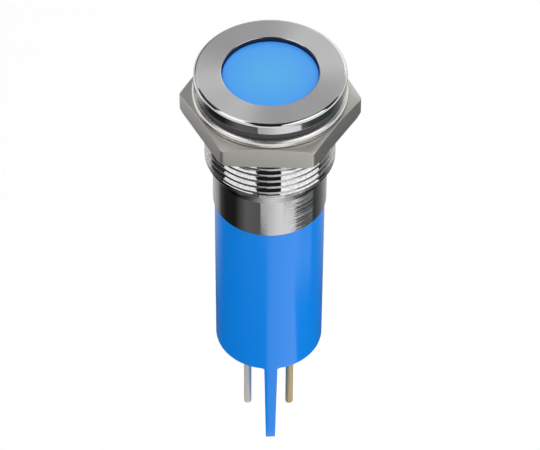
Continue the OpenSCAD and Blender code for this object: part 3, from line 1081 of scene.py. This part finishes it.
shot = {
    "pitch": radians(46.8),
    "focalPixels": 3050,
    "imageWidth": 540,
    "sensorWidth": 36,
    "distance": 361.8 * mm,  # along the view, to the middle of the bezel face
    "raised": 18.237 * mm,  # how far that middle lies above the view's centre
    "aside": 0.067 * mm,
    "roll": radians(0.38),
    "clip": (0.01, 50),
}


def makeCamera():
    data = bpy.data.cameras.new("camera")
    data.sensor_width = shot["sensorWidth"]
    data.lens = data.sensor_width * shot["focalPixels"] / shot["imageWidth"]
    data.clip_start, data.clip_end = shot["clip"]
    camera = bpy.data.objects.new("camera", data)
    bpy.context.scene.collection.objects.link(camera)
    view = Vector((0, cos(shot["pitch"]), -sin(shot["pitch"])))
    up = Vector((0, sin(shot["pitch"]), cos(shot["pitch"])))
    face = Vector((shot["aside"], 0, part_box("bezel_barrel")[1].z))
    camera.location = face - view * shot["distance"] - up * shot["raised"]
    tilt = Matrix.Rotation(radians(90) - shot["pitch"], 3, "X")
    camera.rotation_euler = (tilt @ Matrix.Rotation(shot["roll"], 3, "Z")).to_euler()
    bpy.context.scene.camera = camera


# Studio

studio = {
    "room": 0.3,
    "horizon": 1.0,  # the pale backdrop all round, up to a low height
    "horizonTop": (0.2, 0.4),
    "floorHalf": 2,  # half its width, in metres
    "floorDrop": 60 * mm,
    "paperColor": (0.85, 0.85, 0.85, 1),
    "paperRoughness": 0.8,
    "floorLift": 0.36,  # what the white paper adds of its own for the camera and for reflections
    "farLift": 0.85,  # the same, far away, where the lamps don't reach
    "liftSpan": (0.3, 1.0),
    "cardLift": 3 * mm,
    "ringSteps": 48,
    "panelHeight": 400 * mm,
    "fillPower": 0.5,
    "fillSize": 0.35,
    "fillPlace": (0.55, -0.3, 0.12),
    "fillAim": (0, 0, -0.03),
}

# Corners are in millimetres, and those of the soft boxes and dark panels lie at the height of the panels
leftEdge = [(-215, -600), (-172, -285), (-158, -109), (-54, 90), (-22, 240)]  # of the big left soft box
rightEdge = [(780, -90), (575, -30), (425, 0), (333, 40), (261, 80), (202, 104), (140, 80), (112, 46)]
innerEdge = [(116, -103), (104, -290), (172, -600)]  # of the big right soft box
leftCorners = [(-98, 215), (-189, 109), (-310, 14), (-540, -62), (-745, -125), (-600, -520)]
farRight = [(40, 564), (100, 444), (250, 444), (262, 514), (700, 594), (900, 1100), (120, 1100)]
softboxes = {  # strength and corners
    "leftBox": (1.5, leftEdge + leftCorners),
    "rightBox": (1.65, rightEdge + innerEdge + [(620, -520)]),
    "backLeft": (0.9, [(-620, 380), (-340, 330), (-60, 300), (-60, 480), (-620, 480)]),
    "farLeft": (0.04, [(-620, 484), (-44, 484), (-36, 1000), (-620, 1000)]),
    "backMiddle": (0.68, [(-56, 300), (56, 240), (56, 1000), (-32, 1000), (-40, 484), (-56, 480)]),
    "backRight": (0.6, [(60, 240), (240, 240), (250, 440), (60, 440)]),
    "sideRight": (0.66, [(244, 240), (700, 240), (700, 590), (262, 510), (254, 440)]),
    "farRight": (1.55, farRight),
}
middleGap = rightEdge + innerEdge + [(172, -900), (-215, -900)] + leftEdge
leftGap = [
    (-60, 290), (-58, 243), (-98, 217), (-189, 111), (-310, 16), (-541, -60),
    (-746, -123), (-1400, -330), (-1400, 376), (-622, 376), (-340, 326),
]
darkPanels = {
    "darkPanel": (0.02, middleGap + [(-46, 295), (60, 235), (748, 235)]),
    "darkLeft": (0.05, leftGap),
}
surround = {  # what stands round the foot, by its bearing from the front towards the right, in degrees
    "reach": (12 * mm, 330 * mm),
    "lifts": 1,
    "levels": [
        (-180, 0.75), (-140, 0.5), (-130, 0.42), (-121, 0.26), (-113, 0.07), (-98, 0.02), (-72, 0.015),
        (-64, 0.05), (-46, 0.15), (-20, 0.13), (40, 0.16), (60, (0.05, 0.065, 0.062)),
        (100, (0.045, 0.062, 0.058)), (118, 0.14), (140, 0.36), (180, 0.75),
    ],
    "nearShade": (74 * mm, 96 * mm, 0.15),  # darker between the foot and the far part
}
aroundFoot = {
    "reach": (12 * mm, 46 * mm),
    "lifts": 3,
    "levels": [
        (-180, 0.3), (-120, 0.2), (-80, 0.03), (-60, 0.15), (-35, 0.45), (-15, 0.8), (20, 1.1),
        (45, 1.0), (75, 0.4), (120, 0.3), (180, 0.3),
    ],
    "nearShade": None,
}
frontCorners = [
    (-2, -40), (-6.5, -93), (-29, -93), (-100, -314), (130, -330), (88, -84), (79, -66), (69, -55),
    (56, -28), (30, -20),
]
cards = {  # lifts above the floor, corners, and brightness from the left side to the right side
    "frontCard": (
        2,
        frontCorners,
        [(0.0, 0.55), (0.33, 0.62), (0.43, 0.72), (0.55, 0.95), (0.7, 1.05), (1.0, 0.95)],
    ),
    "sideCard": (
        2,
        [(61, -59), (84, -82), (103, -34), (106, 12), (84, 9), (79, -27)],
        [(0.0, 1.3), (0.35, 1.1), (0.55, 0.75), (0.65, 0.4), (1.0, 0.12)],
    ),
    "threadShade": (
        4,
        [(42, -86.5), (55, -79), (75, -60), (80, -63), (60, -83), (45, -92.5)],
        [(0.0, 0.5), (0.3, 0.3), (1.0, 0.2)],
    ),
    "leftCard": (
        2,
        [(-124, 33), (-290, 78), (-260, 200), (-150, 260), (-64, 111), (-104, 78)],
        [(0.0, 1.0), (1.0, 1.0)],
    ),
}


def makeWorld():
    world = bpy.data.worlds.new("studio")
    world.use_nodes = True
    tree = world.node_tree
    tree.nodes.clear()
    place = put(tree, "ShaderNodeTexCoord")["Generated"]
    rise = put(tree, "ShaderNodeSeparateXYZ", {0: place})["Z"]
    strength = remap(tree, rise, *studio["horizonTop"], studio["horizon"], studio["room"], smooth=True)
    room = put(tree, "ShaderNodeBackground", {"Color": (1, 1, 1, 1), "Strength": strength})
    put(tree, "ShaderNodeOutputWorld", {"Surface": room[0]})
    bpy.context.scene.world = world


def makeFloor():
    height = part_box("anode_terminal")[0].z - studio["floorDrop"]
    half = studio["floorHalf"]
    shape = bmesh.new()
    square = ((-half, -half), (half, -half), (half, half), (-half, half))
    shape.faces.new([shape.verts.new((x, y, height)) for x, y in square])
    matt = {"Roughness": studio["paperRoughness"], "Specular IOR Level": 0.0}
    paper = {"Base Color": studio["paperColor"], "Emission Color": (1, 1, 1, 1), **matt}
    tree, surface = newFinish("floorPaper", paper)
    path = put(tree, "ShaderNodeLightPath")
    seen = calc(tree, "ADD", path["Is Camera Ray"], path["Is Glossy Ray"], clamp=True)
    seen = calc(tree, "ADD", seen, path["Is Transmission Ray"], clamp=True)
    place = put(tree, "ShaderNodeTexCoord")["Object"]
    away = put(tree, "ShaderNodeVectorMath", {0: place}, operation="LENGTH")["Value"]
    lift = remap(tree, away, *studio["liftSpan"], studio["floorLift"], studio["farLift"], smooth=True)
    tree.links.new(calc(tree, "MULTIPLY", seen, lift), surface["Emission Strength"])
    newPiece("floor", shape, "floorPaper")
    return height


def flatShape(corners, height):
    shape = bmesh.new()
    shape.faces.new([shape.verts.new((x * mm, y * mm, height)) for x, y in corners])
    return shape


def newGlow(name):
    tree, _ = newFinish(name, {})
    tree.nodes.clear()
    glow = put(tree, "ShaderNodeEmission", {"Color": (1, 1, 1, 1), "Strength": 1.0})[0]
    put(tree, "ShaderNodeOutputMaterial", {"Surface": glow})
    return tree, glow.node.inputs


def makePanel(name, strength, corners):  # a flat lit or dark panel overhead, that faces down
    newGlow(name)[1]["Strength"].default_value = strength
    panel = newPiece(name, flatShape(corners, studio["panelHeight"]), name)
    panel.visible_camera = False
    return panel


def hideFromView(card):  # a card shows only in reflections
    for ray in ("camera", "diffuse", "shadow", "volume_scatter"):
        setattr(card, "visible_" + ray, False)


def makeRamp(tree, factor, stops):
    color = put(tree, "ShaderNodeValToRGB", {"Fac": factor})["Color"]
    elements = color.node.color_ramp.elements
    elements[0].position, elements[1].position = stops[0][0], stops[-1][0]
    for place, _ in stops[1:-1]:
        elements.new(place)
    for element, (_, value) in zip(elements, stops):
        element.color = (*value, 1) if isinstance(value, tuple) else (value, value, value, 1)
    return color


def makeSurround(name, floorHeight, look):  # a flat ring above the floor
    shape = bmesh.new()
    height = floorHeight + look["lifts"] * studio["cardLift"]
    bearings = [tau * k / studio["ringSteps"] for k in range(studio["ringSteps"])]
    inner, outer = [
        [shape.verts.new((r * sin(a), r * cos(a), height)) for a in bearings]
        for r in look["reach"]
    ]
    for k in range(len(inner)):
        n = (k + 1) % len(inner)
        shape.faces.new((inner[k], inner[n], outer[n], outer[k]))
    tree, glow = newGlow(name)
    _, parts, radius = aroundAxis(tree)
    bearing = calc(tree, "ARCTAN2", parts["X"], calc(tree, "MULTIPLY", parts["Y"], -1.0))
    share = calc(tree, "ADD", calc(tree, "DIVIDE", bearing, tau), 0.5)
    stops = [((degrees + 180) / 360, value) for degrees, value in look["levels"]]
    tree.links.new(makeRamp(tree, share, stops), glow["Color"])
    if look["nearShade"]:
        tree.links.new(remap(tree, radius, *look["nearShade"], 1.0), glow["Strength"])
    hideFromView(newPiece(name, shape, name))


def makeCard(name, height, corners, stops):
    tree, glow = newGlow(name)
    place = put(tree, "ShaderNodeTexCoord")["Object"]
    x = put(tree, "ShaderNodeSeparateXYZ", {0: place})["X"]
    sides = [corner[0] * mm for corner in corners]
    share = remap(tree, x, min(sides), max(sides))
    tree.links.new(makeRamp(tree, share, stops), glow["Color"])
    hideFromView(newPiece(name, flatShape(corners, height), name))


def makeFill():  # a soft lamp at the right that lights the plastic and leaves the metal alone
    data = bpy.data.lights.new("fillLamp", "AREA")
    data.shape = "DISK"
    data.size = studio["fillSize"]
    data.energy = studio["fillPower"]
    fill = bpy.data.objects.new("fillLamp", data)
    fill.location = Vector(studio["fillPlace"])
    aim = Vector(studio["fillAim"]) - fill.location
    fill.rotation_euler = aim.to_track_quat("-Z", "Y").to_euler()
    fill.visible_glossy = False
    bpy.context.scene.collection.objects.link(fill)


makeCamera()
makeWorld()
floorHeight = makeFloor()
for panelName, (strength, corners) in softboxes.items():
    makePanel(panelName, strength, corners)
for panelName, (strength, corners) in darkPanels.items():
    hideFromView(makePanel(panelName, strength, corners))
makeSurround("surroundCard", floorHeight, surround)
makeSurround("footCard", floorHeight, aroundFoot)
for cardName, (lifts, corners, stops) in cards.items():
    makeCard(cardName, floorHeight + lifts * studio["cardLift"], corners, stops)
makeFill()
bpy.context.scene.view_settings.view_transform = "Standard"
print("camera and studio ready")
